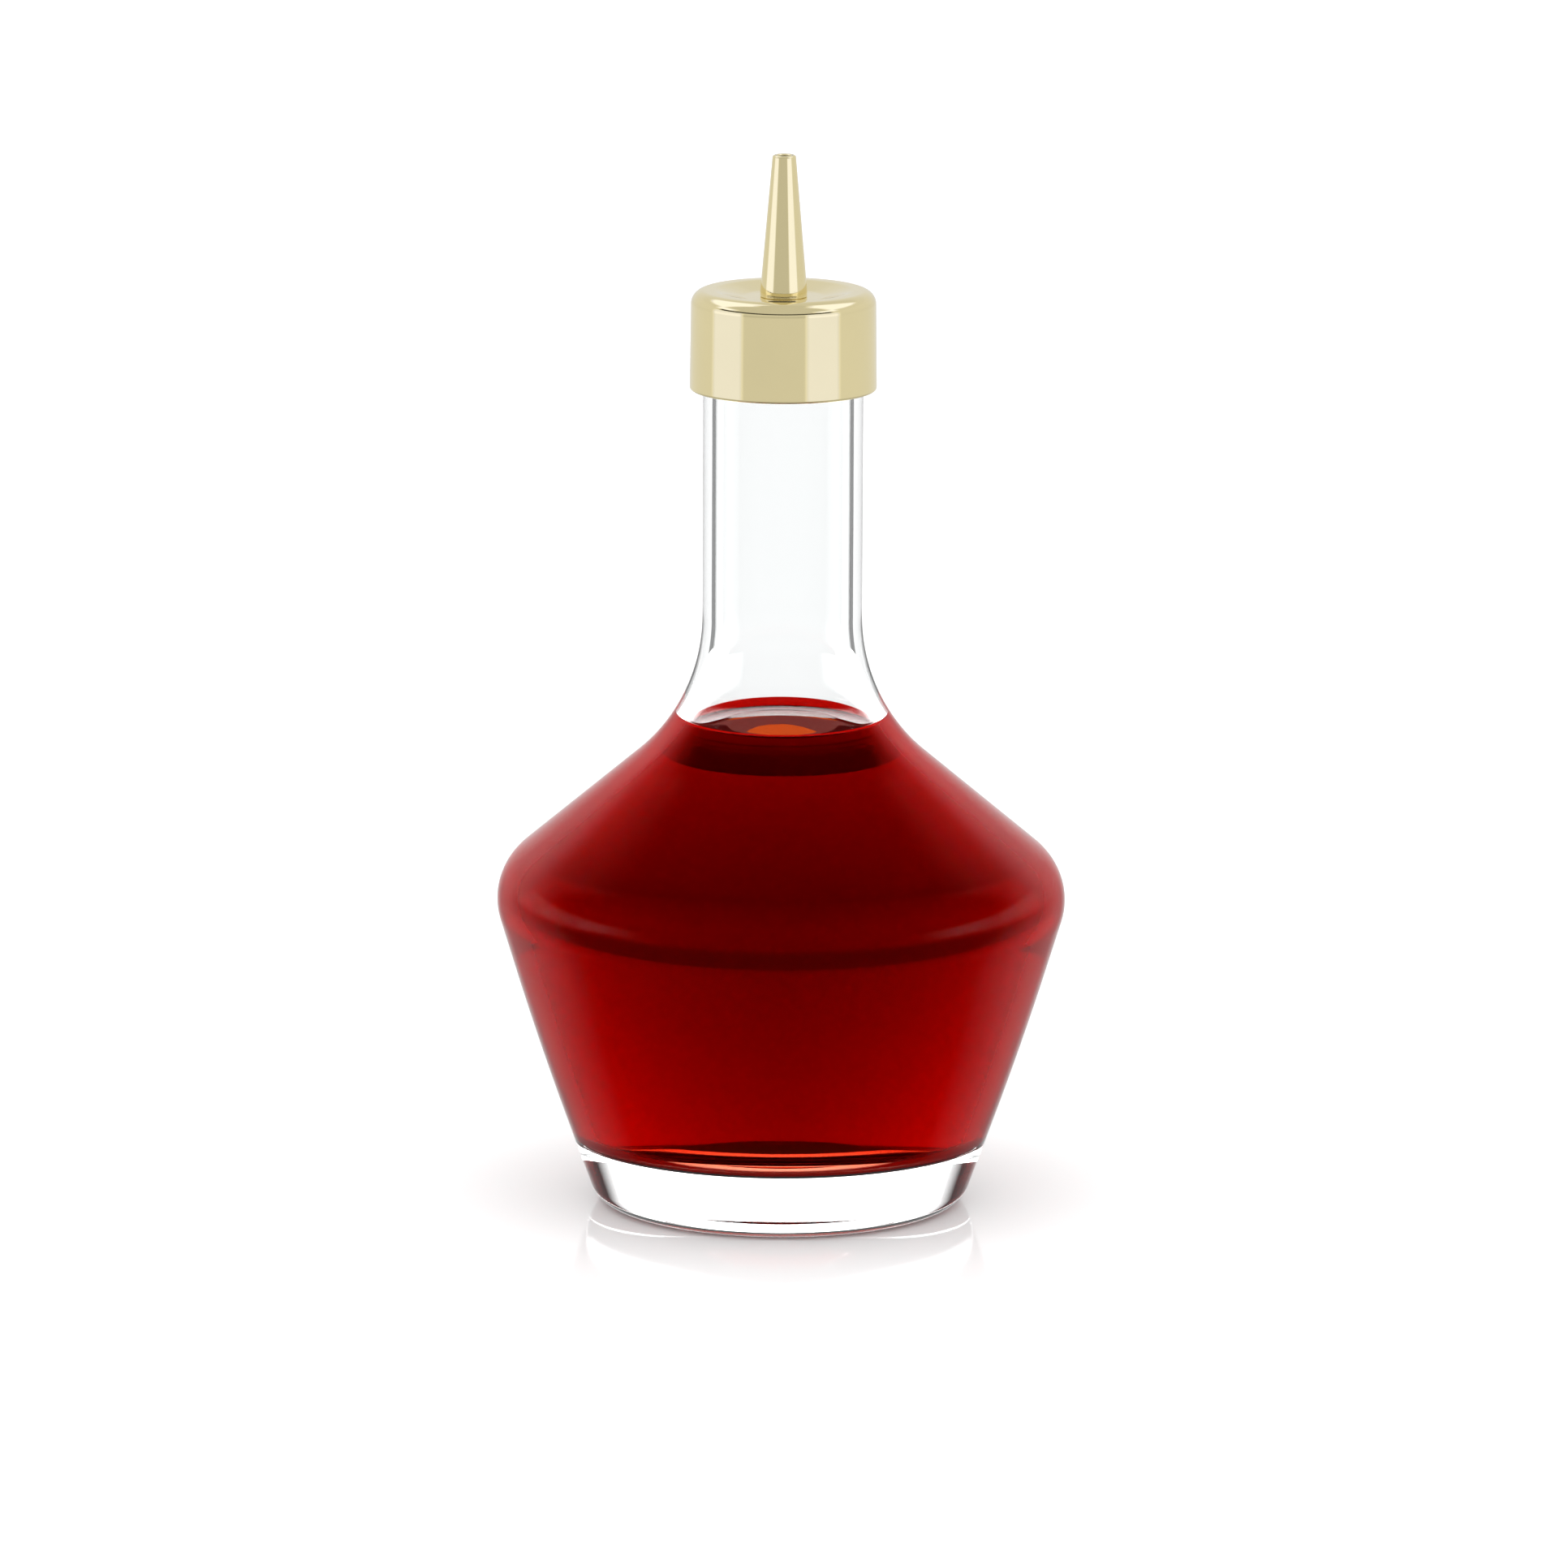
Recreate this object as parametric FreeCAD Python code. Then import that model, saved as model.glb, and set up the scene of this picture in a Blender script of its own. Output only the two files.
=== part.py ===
import FreeCAD, Part
import math
import os

# Bitters bottle: a blown glass bottle with a thick clear base, its filling, and a gold-plated
# dasher top that lifts off the neck. Millimetres, +Z up, base centre at the origin.
# All pieces but the nut are turned about the bottle's axis.

# Glass bottle, outside
BELLY_DIAMETER = 70.0
BELLY_HEIGHT = 38.0
BELLY_ROUNDING = 7.9
SHOULDER_ANGLE = 50.0
WALL_LEAN = 17.0
FOOT_LEAN = 19.8
BOW_HEIGHT = 20.0
BOW_ROUNDING = 400.0
HEEL_ROUNDING = 3.4
NECK_DIAMETER = 19.6
NECK_FLARE = 22.8
BOTTLE_HEIGHT = 110.3
PUSH_UP_INSET = 6.2
PUSH_UP_DEPTH = 0.4

# Glass bottle, inside
NECK_WALL = 1.55
BODY_WALL = 1.9
BASE_THICKNESS = 8.4
INNER_CORNER = 3.0
SWELL_INSET = 4.9
SWELL_ANGLE = 12.3
SWELL_TOP_DIAMETER = 8.2
SWELL_ROUNDING = 20.0
LIP_ROUNDING = 0.6

# Filling
FILL_LEVEL = 60.5
FILL_GAP = 0.25

# Cap shell
SKIRT_GAP = 0.4
SKIRT_WALL = 1.25
SKIRT_DRAFT = 0.15
SKIRT_OVERLAP = 8.8
PLATE_THICKNESS = 1.4
DISH_DEPTH = 0.8
DISH_EDGE = 2.95
DISH_SLOPE = 3.4
DISH_ROUNDING = 3.0
RIM_ROUNDING = 1.7
SKIRT_EDGE = 0.35
PLATE_FILLET = 0.5

# Dasher nozzle
NOZZLE_LENGTH = 17.4
COLLAR_WIDTH = 0.87
COLLAR_HEIGHT = 0.7
COLLAR_EDGE = 0.12
TIP_DIAMETER = 2.84
TIP_ROUNDING = 0.3
OUTLET_DIAMETER = 1.6
OUTLET_LENGTH = 6.0
OUTLET_EDGE = 0.2
PASSAGE_DIAMETER = 2.4
PASSAGE_CONE = 0.7
STEM_DIAMETER = 4.0
STEM_CLEARANCE = 0.05
STEM_EDGE = 0.2

# Nozzle seal, an O-ring
SEAL_SECTION = 0.5
SEAL_CLEARANCE = 0.02

# Stopper, ribbed silicone
STOPPER_LENGTH = 8.0
STOPPER_CLEARANCE = 0.05
RIB_DEPTH = 0.9
FLANGE_THICKNESS = 1.2
FLANGE_INSET = 0.2
FLANGE_ROUNDING = 0.3
SEATING_GAP = 0.05
RIB_COUNT = 3
RIB_ROOT = 1.3
RIB_TIP = 0.6
LEAD_IN = 0.5

# Clamp washer and stem nut
WASHER_DIAMETER = 8.0
WASHER_THICKNESS = 0.5
NUT_WIDTH = 7.0
NUT_THICKNESS = 2.2
NUT_CHAMFER = 30.0
STEM_PROUD = 0.1
RECESS_CLEARANCE = 0.25

# Radii and heights that follow from the sizes above
neck_r = NECK_DIAMETER / 2
bore_r = neck_r - NECK_WALL
stem_r = STEM_DIAMETER / 2
stem_hole_r = stem_r + STEM_CLEARANCE
nut_corner_r = NUT_WIDTH / 2 / math.cos(math.pi / 6)

flange_bottom = BOTTLE_HEIGHT + SEATING_GAP
plate_bottom = flange_bottom + FLANGE_THICKNESS
dish_floor = plate_bottom + PLATE_THICKNESS
cap_top = dish_floor + DISH_DEPTH
skirt_bottom = BOTTLE_HEIGHT - SKIRT_OVERLAP
skirt_inner_r = neck_r + SKIRT_GAP
skirt_outer_r = skirt_inner_r + SKIRT_WALL
rim_r = skirt_outer_r - SKIRT_DRAFT

stopper_bottom = flange_bottom - STOPPER_LENGTH
recess_r = max(nut_corner_r, WASHER_DIAMETER / 2) + RECESS_CLEARANCE
stem_bottom = stopper_bottom + STEM_PROUD
nut_bottom = stem_bottom + STEM_PROUD
washer_bottom = nut_bottom + NUT_THICKNESS
recess_top = washer_bottom + WASHER_THICKNESS

seal_inner_r = stem_r + SEAL_CLEARANCE
seal_seat_r = seal_inner_r + SEAL_SECTION + SEAL_CLEARANCE
seal_seat_depth = SEAL_SECTION + SEAL_CLEARANCE

ORIGIN = FreeCAD.Vector(0, 0, 0)
UP = FreeCAD.Vector(0, 0, 1)
SMALLEST_EDGE = 1e-6


def point(radius, height):
    """A point of an outline: radius from the axis and height."""
    return FreeCAD.Vector(radius, 0, height)


def rounded_face(corners):
    """A flat face from corners (radius, height, rounding), with tangent arcs at the rounded ones."""
    places = [point(radius, height) for radius, height, _ in corners]
    turns = []
    for index, (_, _, rounding) in enumerate(corners):
        here = places[index]
        if rounding == 0:
            turns.append((here, None, here))
            continue
        to_last = (places[index - 1] - here).normalize()
        to_next = (places[(index + 1) % len(places)] - here).normalize()
        half_angle = to_last.getAngle(to_next) / 2
        reach = rounding / math.tan(half_angle)
        inwards = (to_last + to_next).normalize()
        crown = here + inwards * (rounding / math.sin(half_angle) - rounding)
        turns.append((here + to_last * reach, crown, here + to_next * reach))
    edges = []
    for (start, crown, end), (next_start, _, _) in zip(turns, turns[1:] + turns[:1]):
        if crown is not None:
            edges.append(Part.Arc(start, crown, end).toShape())
        if end.distanceToPoint(next_start) > SMALLEST_EDGE:
            edges.append(Part.LineSegment(end, next_start).toShape())
    return Part.Face(Part.Wire(edges))


def turned(corners):
    """A solid of revolution about the bottle's axis."""
    return rounded_face(corners).revolve(ORIGIN, UP, 360)


def slanted(angle, through):
    """A straight wall of an outline: its outward normal's angle above level, and its distance from the origin."""
    radians = math.radians(angle)
    return radians, through.x * math.cos(radians) + through.z * math.sin(radians)


def inset(wall, depth):
    """A wall moved inwards."""
    return wall[0], wall[1] - depth


def meet(first, second):
    """Radius and height at which two walls of an outline meet."""
    (angle_a, reach_a), (angle_b, reach_b) = first, second
    spread = math.sin(angle_b - angle_a)
    radius = (reach_a * math.sin(angle_b) - reach_b * math.sin(angle_a)) / spread
    height = (reach_b * math.cos(angle_a) - reach_a * math.cos(angle_b)) / spread
    return radius, height


def level(height):
    """A level line of an outline."""
    return math.pi / 2, height


def upright(radius):
    """A line of an outline that is parallel to the axis."""
    return 0.0, radius


def bottle_walls():
    """The bottle's outer foot, wall and shoulder, the last two tangent to the rounded belly."""
    belly_centre = point(BELLY_DIAMETER / 2 - BELLY_ROUNDING, BELLY_HEIGHT)
    shoulder = inset(slanted(SHOULDER_ANGLE, belly_centre), -BELLY_ROUNDING)
    wall = inset(slanted(-WALL_LEAN, belly_centre), -BELLY_ROUNDING)
    bow = point(*meet(wall, level(BOW_HEIGHT)))
    foot = slanted(-FOOT_LEAN, bow)
    return foot, wall, shoulder


def outline(depth, floor, corner, neck_radius, flare, top, lip):
    """Corners of the bottle's outline at a depth under the outer surface, from the floor to the top."""
    foot, wall, shoulder = (inset(each, depth) for each in bottle_walls())
    neck = upright(neck_radius)
    return [
        (*meet(level(floor), foot), corner),
        (*meet(foot, wall), BOW_ROUNDING - depth),
        (*meet(wall, shoulder), BELLY_ROUNDING - depth),
        (*meet(shoulder, neck), flare),
        (neck_radius, top, lip),
    ]


def swell(floor):
    """Corners of the rounded swell of glass in the middle of the bottle's floor, for a floor at a height."""
    foot = bottle_walls()[0]
    floor_r, _ = meet(level(BASE_THICKNESS), inset(foot, BODY_WALL))
    foot_r = floor_r - SWELL_INSET
    top_r = SWELL_TOP_DIAMETER / 2
    top = floor + (foot_r - top_r) * math.tan(math.radians(SWELL_ANGLE))
    return [
        (0, top, 0),
        (top_r, top, SWELL_ROUNDING),
        (foot_r, floor, SWELL_ROUNDING),
    ]


def cavity(gap, top, lip):
    """Corners of the bottle's inside from the middle of its floor, or of a filling that stays a gap clear of it."""
    floor = BASE_THICKNESS + gap
    return swell(floor) + outline(BODY_WALL + gap, floor, INNER_CORNER - gap, bore_r - gap,
                                  NECK_FLARE + NECK_WALL + gap, top, lip)


def glass_bottle():
    """Blown bottle whose thick base swells inside, with a push-up that leaves a bearing ring under it."""
    outside = outline(0, 0, HEEL_ROUNDING, neck_r, NECK_FLARE, BOTTLE_HEIGHT, LIP_ROUNDING)
    inside = cavity(0, BOTTLE_HEIGHT, LIP_ROUNDING)
    body = turned([(0, 0, 0)] + outside + inside[::-1])
    base_r, _ = meet(level(0), bottle_walls()[0])
    push_up_r = base_r - PUSH_UP_INSET
    dome_r = (push_up_r ** 2 + PUSH_UP_DEPTH ** 2) / (2 * PUSH_UP_DEPTH)
    dome = Part.makeSphere(dome_r, FreeCAD.Vector(0, 0, PUSH_UP_DEPTH - dome_r))
    return body.cut(dome)


def bitters():
    """Filling of the bottle up to its level in the flare of the neck."""
    whole = turned(cavity(FILL_GAP, BOTTLE_HEIGHT, 0) + [(0, BOTTLE_HEIGHT, 0)])
    below_level = Part.makeCylinder(BELLY_DIAMETER, FILL_LEVEL)
    return whole.common(below_level)


def cap_shell():
    """Cap with a drafted skirt round the neck, a rounded rim and a dished top with a seat for the seal."""
    dish_r = rim_r - DISH_EDGE
    return turned([
        (skirt_inner_r, skirt_bottom, SKIRT_EDGE / 2),
        (skirt_outer_r, skirt_bottom, SKIRT_EDGE),
        (rim_r, cap_top, RIM_ROUNDING),
        (dish_r, cap_top, DISH_ROUNDING),
        (dish_r - DISH_SLOPE, dish_floor, DISH_ROUNDING),
        (seal_seat_r, dish_floor, 0),
        (seal_seat_r, dish_floor - seal_seat_depth, 0),
        (stem_hole_r, dish_floor - seal_seat_depth, 0),
        (stem_hole_r, plate_bottom, 0),
        (skirt_inner_r, plate_bottom, PLATE_FILLET),
    ])


def dasher_nozzle():
    """Turned nozzle: a taper on a collar, a stem through the cap and stopper, and a dash outlet."""
    collar_r = stem_r + COLLAR_WIDTH
    outlet_r = OUTLET_DIAMETER / 2
    passage_r = PASSAGE_DIAMETER / 2
    tip = dish_floor + NOZZLE_LENGTH
    outlet_bottom = tip - OUTLET_LENGTH
    return turned([
        (passage_r, stem_bottom, 0),
        (stem_r, stem_bottom, STEM_EDGE),
        (stem_r, dish_floor, 0),
        (collar_r, dish_floor, COLLAR_EDGE),
        (collar_r, dish_floor + COLLAR_HEIGHT, 0),
        (TIP_DIAMETER / 2, tip, TIP_ROUNDING),
        (outlet_r, tip, OUTLET_EDGE),
        (outlet_r, outlet_bottom, 0),
        (passage_r, outlet_bottom - PASSAGE_CONE, 0),
    ])


def nozzle_seal():
    """O-ring in its seat under the nozzle's collar."""
    section_r = SEAL_SECTION / 2
    centre = FreeCAD.Vector(0, 0, dish_floor - seal_seat_depth / 2)
    return Part.makeTorus(seal_inner_r + section_r, section_r, centre)


def stopper():
    """Ribbed plug in the neck's bore, with a flange over the lip and a recess for the nut."""
    rib_r = bore_r - STOPPER_CLEARANCE
    core_r = rib_r - RIB_DEPTH
    rib_pitch = (STOPPER_LENGTH - RIB_ROOT) / RIB_COUNT
    corners = [
        (stem_hole_r, recess_top, 0),
        (recess_r, recess_top, 0),
        (recess_r, stopper_bottom, 0),
        (core_r, stopper_bottom, LEAD_IN),
    ]
    for rib in range(RIB_COUNT):
        root = stopper_bottom + RIB_ROOT + rib * rib_pitch
        tip = root + (RIB_ROOT - RIB_TIP) / 2
        corners += [
            (core_r, root, 0),
            (rib_r, tip, 0),
            (rib_r, tip + RIB_TIP, 0),
            (core_r, root + RIB_ROOT, 0),
        ]
    flange_r = neck_r - FLANGE_INSET
    corners += [
        (core_r, flange_bottom, 0),
        (flange_r, flange_bottom, FLANGE_ROUNDING),
        (flange_r, plate_bottom, FLANGE_ROUNDING),
        (stem_hole_r, plate_bottom, 0),
    ]
    return turned(corners)


def clamp_washer():
    """Flat washer between the stopper and the nut."""
    washer_r = WASHER_DIAMETER / 2
    return turned([
        (stem_hole_r, washer_bottom, 0),
        (washer_r, washer_bottom, 0),
        (washer_r, recess_top, 0),
        (stem_hole_r, recess_top, 0),
    ])


def stem_nut():
    """Thin hexagon nut with chamfered corners that draws the stack together on the stem."""
    corners = [FreeCAD.Vector(nut_corner_r * math.cos(turn * math.pi / 3),
                              nut_corner_r * math.sin(turn * math.pi / 3), nut_bottom) for turn in range(7)]
    prism = Part.Face(Part.makePolygon(corners)).extrude(UP * NUT_THICKNESS)
    drop = (nut_corner_r - NUT_WIDTH / 2) * math.tan(math.radians(NUT_CHAMFER))
    envelope = turned([
        (stem_hole_r, nut_bottom, 0),
        (NUT_WIDTH / 2, nut_bottom, 0),
        (nut_corner_r, nut_bottom + drop, 0),
        (nut_corner_r, washer_bottom, 0),
        (stem_hole_r, washer_bottom, 0),
    ])
    return prism.common(envelope)


PIECES = [glass_bottle, bitters, cap_shell, dasher_nozzle, nozzle_seal, stopper, clamp_washer, stem_nut]

os.makedirs("parts", exist_ok=True)
for piece in PIECES:
    shape = piece()
    solid = shape.Solids[0]
    if len(shape.Solids) != 1 or not solid.isValid():
        raise ValueError(f"{piece.__name__} is not one sound solid")
    solid.exportStep(f"parts/{piece.__name__}.step")
    box = solid.optimalBoundingBox()
    print(f"{piece.__name__}: {solid.Volume / 1000:.3f} ml, r {box.XMax:.2f}, z {box.ZMin:.2f} to {box.ZMax:.2f}")
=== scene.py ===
import math

import bpy
from bpy.props import FloatProperty, FloatVectorProperty, IntProperty, PointerProperty
from mathutils import Matrix, Vector


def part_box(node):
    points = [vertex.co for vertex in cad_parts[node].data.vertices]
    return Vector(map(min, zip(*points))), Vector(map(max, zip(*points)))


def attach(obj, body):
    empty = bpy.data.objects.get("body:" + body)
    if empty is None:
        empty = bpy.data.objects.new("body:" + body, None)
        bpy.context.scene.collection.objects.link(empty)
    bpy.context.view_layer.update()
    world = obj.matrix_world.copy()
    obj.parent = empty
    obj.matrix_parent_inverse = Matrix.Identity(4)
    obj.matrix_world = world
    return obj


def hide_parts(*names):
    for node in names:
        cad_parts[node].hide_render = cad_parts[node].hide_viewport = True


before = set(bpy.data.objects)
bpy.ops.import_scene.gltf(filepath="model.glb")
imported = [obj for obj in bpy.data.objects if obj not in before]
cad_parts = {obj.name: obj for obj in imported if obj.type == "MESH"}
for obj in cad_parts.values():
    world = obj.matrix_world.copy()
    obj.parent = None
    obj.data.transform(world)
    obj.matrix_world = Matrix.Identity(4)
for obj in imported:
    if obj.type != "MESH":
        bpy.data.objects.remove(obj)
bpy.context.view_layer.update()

bl_info = {
    "name": "Bitters bottle",
    "version": (1, 0, 0),
    "blender": (4, 5, 0),
    "location": "3D View > Sidebar > Bitters bottle",
    "description": "Finishes a glass bitters bottle and its gold-plated dasher top",
    "category": "Object",
}

MM = 0.001

# How finely an outline's arcs are divided, in degrees and millimetres, and how far from an arc its support
# points stand
ARC_STEP = 6.0
ARC_LENGTH = 0.6
SUPPORT = 0.1
# Points of a mesh that are closer than this become one, in metres
WELD = 1e-6


def linear(code):
    """Linear colour of an sRGB hex value."""
    shares = [int(code[place:place + 2], 16) / 255 for place in (0, 2, 4)]
    return [share / 12.92 if share <= 0.04045 else ((share + 0.055) / 1.055) ** 2.4 for share in shares]


def top_of(node):
    """Height of a node's highest point, in millimetres."""
    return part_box(node)[1].z / MM


def bottom_of(node):
    """Height of a node's lowest point, in millimetres."""
    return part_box(node)[0].z / MM


def radius_of(node):
    """A round node's largest radius, in millimetres."""
    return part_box(node)[1].x / MM


class GlassSettings(bpy.types.PropertyGroup):
    """Sizes and looks of the glass bottle."""

    belly_height: FloatProperty(name="Belly height", description="Height of the widest place",
                                default=38.0 * MM, unit="LENGTH")
    belly_rounding: FloatProperty(name="Belly rounding", description="Radius of the belly's arc",
                                  default=7.9 * MM, unit="LENGTH")
    neck_diameter: FloatProperty(name="Neck diameter", description="Outside diameter of the neck",
                                 default=19.6 * MM, unit="LENGTH")
    neck_flare: FloatProperty(name="Neck flare", description="Radius of the arc from shoulder to neck",
                              default=22.8 * MM, unit="LENGTH")
    neck_wall: FloatProperty(name="Neck wall", description="Thickness of the neck's wall",
                             default=1.55 * MM, unit="LENGTH")
    body_wall: FloatProperty(name="Body wall", description="Thickness of the body's wall",
                             default=1.9 * MM, unit="LENGTH")
    base_thickness: FloatProperty(name="Base thickness", description="Thickness of the clear base",
                                  default=8.4 * MM, unit="LENGTH")
    inner_corner: FloatProperty(name="Inner corner", description="Rounding inside, between base and wall",
                                default=3.0 * MM, unit="LENGTH")
    swell_angle: FloatProperty(name="Swell angle", description="Slope of the swell in the inner floor",
                               default=math.radians(12.3), subtype="ANGLE")
    tint: FloatVectorProperty(name="Tint", description="Colour of the glass", subtype="COLOR",
                              min=0, max=1, default=linear("FDFEFE"))
    segments: IntProperty(name="Segments", description="Faces round the bottle", default=256, min=24)


class FillingSettings(bpy.types.PropertyGroup):
    """Sizes and looks of the filling."""

    brim: FloatProperty(name="Brim", description="Height that the filling climbs to on the glass",
                        default=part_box("bitters")[1].z, unit="LENGTH")
    gap: FloatProperty(name="Gap", description="How far the filling stays off the glass",
                       default=0.02 * MM, unit="LENGTH")
    meniscus: FloatProperty(name="Meniscus", description="How far the filling climbs the glass",
                            default=1.3 * MM, unit="LENGTH")
    absorbed: FloatVectorProperty(name="Absorption colour", description="What the filling lets through",
                                  subtype="COLOR", min=0, max=1, default=linear("ED8400"))
    density: FloatProperty(name="Density", description="Absorption in a metre", default=294.0, min=0)
    haze: FloatProperty(name="Haze", description="Light scattered in a metre", default=8.0, min=0)


class TopSettings(bpy.types.PropertyGroup):
    """Looks of the dasher top."""

    gold: FloatVectorProperty(name="Gold", description="Colour of the plating", subtype="COLOR",
                              min=0, max=1, default=linear("F1E3B1"))
    polish: FloatProperty(name="Roughness", description="Roughness of the plating", subtype="FACTOR",
                          min=0, max=1, default=0.06)
    segments: IntProperty(name="Segments", description="Faces round the cap", default=192, min=24)


class StageSettings(bpy.types.PropertyGroup):
    """Camera, floor and light."""

    camera_distance: FloatProperty(name="Camera distance", description="Camera in front of the bottle",
                                   default=1.350, unit="LENGTH")
    camera_height: FloatProperty(name="Camera height", description="Camera above the floor",
                                 default=0.330, unit="LENGTH")
    aim_height: FloatProperty(name="Aim height", description="Height that the camera aims at",
                              default=0.05225, unit="LENGTH")
    lens: FloatProperty(name="Focal length", description="For a sensor 36 mm wide", default=257.27,
                        unit="CAMERA")
    floor_reach: FloatProperty(name="Floor reach", description="How far the floor goes to each side",
                               default=6.0, unit="LENGTH")
    floor_colour: FloatVectorProperty(name="Floor colour", description="Colour of the floor",
                                      subtype="COLOR", min=0, max=1, default=linear("F0F0F0"))


class BottleSettings(bpy.types.PropertyGroup):
    """All settings of the bottle."""

    glass: PointerProperty(type=GlassSettings)
    filling: PointerProperty(type=FillingSettings)
    top: PointerProperty(type=TopSettings)
    stage: PointerProperty(type=StageSettings)


def add(tree, kind, values=(), stops=(), **settings):
    """Adds a node. Settings are its properties, values go to its inputs, where a socket is linked, and
    stops are a ramp's places and levels."""
    made = tree.nodes.new(kind)
    for name, setting in settings.items():
        setattr(made, name, setting)
    for key, value in dict(values).items():
        socket = made.inputs[key]
        if isinstance(value, bpy.types.NodeSocket):
            tree.links.new(value, socket)
        else:
            socket.default_value = value
    if stops:
        elements = made.color_ramp.elements
        while len(elements) < len(stops):
            elements.new(1.0)
        for element, (place, level) in zip(elements, stops):
            element.position = place
            element.color = (level, level, level, 1.0)
    return made


# Outlines

def rounded(corners):
    """Points of an outline from corners (radius, height, rounding) in millimetres. Rounded corners become
    arcs, and a support point beside each arc keeps the straight stretches flat in their shading."""
    places = [Vector(corner[:2]) for corner in corners]
    points = []
    for index, (_, _, rounding) in enumerate(corners):
        here = places[index]
        if rounding == 0:
            points.append(here)
            continue
        to_last = (places[index - 1] - here).normalized()
        to_next = (places[(index + 1) % len(places)] - here).normalized()
        turn = math.pi - to_last.angle(to_next)
        reach = rounding * math.tan(turn / 2)
        centre = here + (to_last + to_next).normalized() * (rounding / math.cos(turn / 2))
        start = here + to_last * reach
        side = 1 if to_last.cross(to_next) < 0 else -1
        steps = math.ceil(max(math.degrees(turn) / ARC_STEP, turn * rounding / ARC_LENGTH))
        points.append(start + to_last * SUPPORT)
        for step in range(steps + 1):
            points.append(centre + Matrix.Rotation(side * turn * step / steps, 2) @ (start - centre))
        points.append(here + to_next * (reach + SUPPORT))
    return points


def meet(first, second):
    """Where two walls of an outline meet. A wall is the angle of its outward normal and its distance from
    the origin."""
    (angle_a, reach_a), (angle_b, reach_b) = first, second
    spread = math.sin(angle_b - angle_a)
    radius = (reach_a * math.sin(angle_b) - reach_b * math.sin(angle_a)) / spread
    height = (reach_b * math.cos(angle_a) - reach_a * math.cos(angle_b)) / spread
    return radius, height


# Slants of the bottle's walls, the place where foot and wall meet in a wide bow, and the sizes of heel, lip,
# swell and push-up that the settings don't hold, in millimetres
SHOULDER_ANGLE = math.radians(50.0)
WALL_ANGLE = math.radians(-17.0)
FOOT_ANGLE = math.radians(-19.8)
BOW_HEIGHT = 20.0
BOW_ROUNDING = 400.0
HEEL_ROUNDING = 3.4
LIP_ROUNDING = 0.6
SWELL_INSET = 4.9
SWELL_TOP_RADIUS = 4.1
SWELL_ROUNDING = 20.0
PUSH_UP_INSET = 6.2
PUSH_UP_DEPTH = 0.4
PUSH_UP_STEPS = 24


def bottle_walls(glass):
    """The bottle's outer foot, wall and shoulder."""
    rounding = glass.belly_rounding / MM
    centre_r = radius_of("glass_bottle") - rounding
    centre_z = glass.belly_height / MM
    shoulder, wall = (
        (angle, centre_r * math.cos(angle) + centre_z * math.sin(angle) + rounding)
        for angle in (SHOULDER_ANGLE, WALL_ANGLE)
    )
    bow_r, bow_z = meet(wall, (math.pi / 2, BOW_HEIGHT))
    foot = (FOOT_ANGLE, bow_r * math.cos(FOOT_ANGLE) + bow_z * math.sin(FOOT_ANGLE))
    return foot, wall, shoulder


def bottle_corners(glass, depth, floor, corner, neck_radius, flare):
    """Corners of the bottle's outline at a depth under its outer surface, from the floor to the lip."""
    foot, wall, shoulder = ((angle, reach - depth) for angle, reach in bottle_walls(glass))
    return [
        (*meet((math.pi / 2, floor), foot), corner),
        (*meet(foot, wall), BOW_ROUNDING - depth),
        (*meet(wall, shoulder), glass.belly_rounding / MM - depth),
        (*meet(shoulder, (0.0, neck_radius)), flare),
        (neck_radius, top_of("glass_bottle"), LIP_ROUNDING),
    ]


def inside_corners(glass, gap=0.0):
    """Corners of the bottle's inside from the middle of its floor, or of a filling a gap clear of it."""
    body_wall = glass.body_wall / MM
    base = glass.base_thickness / MM
    neck_radius = glass.neck_diameter / 2 / MM - glass.neck_wall / MM
    flare = glass.neck_flare / MM + glass.neck_wall / MM
    angle, reach = bottle_walls(glass)[0]
    swell_foot = meet((math.pi / 2, base), (angle, reach - body_wall))[0] - SWELL_INSET
    swell_top = base + gap + (swell_foot - SWELL_TOP_RADIUS) * math.tan(glass.swell_angle)
    return [
        (0, swell_top, 0),
        (SWELL_TOP_RADIUS, swell_top, SWELL_ROUNDING),
        (swell_foot, base + gap, SWELL_ROUNDING),
        *bottle_corners(glass, body_wall + gap, base + gap, glass.inner_corner / MM - gap,
                        neck_radius - gap, flare + gap),
    ]


def cut_at(points, height):
    """Index after which an outline last crosses a height, and the point where it does."""
    for index in range(len(points) - 2, -1, -1):
        here, after = points[index], points[index + 1]
        if (here.y - height) * (after.y - height) < 0:
            return index, here.lerp(after, (height - here.y) / (after.y - here.y))
    raise ValueError(f"the outline doesn't cross the height {height}")


def bottle_outline(glass, wet_height):
    """Outline of the glass, from the middle of the push-up round the wall to the middle of the inner floor,
    with a point where the filling's edge wets it."""
    neck_radius = glass.neck_diameter / 2 / MM
    outside = bottle_corners(glass, 0, 0, HEEL_ROUNDING, neck_radius, glass.neck_flare / MM)
    push_up_r = outside[0][0] - PUSH_UP_INSET
    dome_r = (push_up_r ** 2 + PUSH_UP_DEPTH ** 2) / (2 * PUSH_UP_DEPTH)
    push_up = []
    for step in range(PUSH_UP_STEPS + 1):
        radius = push_up_r * step / PUSH_UP_STEPS
        push_up.append(Vector((radius, math.sqrt(dome_r ** 2 - radius ** 2) - dome_r + PUSH_UP_DEPTH)))
    wall = rounded([(push_up_r, 0, 0)] + outside + inside_corners(glass)[::-1])
    index, edge = cut_at(wall, wet_height)
    wall.insert(index + 1, edge)
    return push_up + wall[1:]


# How fast the filling's edge drops away from the glass, and how far in its curve is drawn, in millimetres
MENISCUS_REACH = 1.0
MENISCUS_SPAN = 6.0
MENISCUS_STEPS = 14


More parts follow.
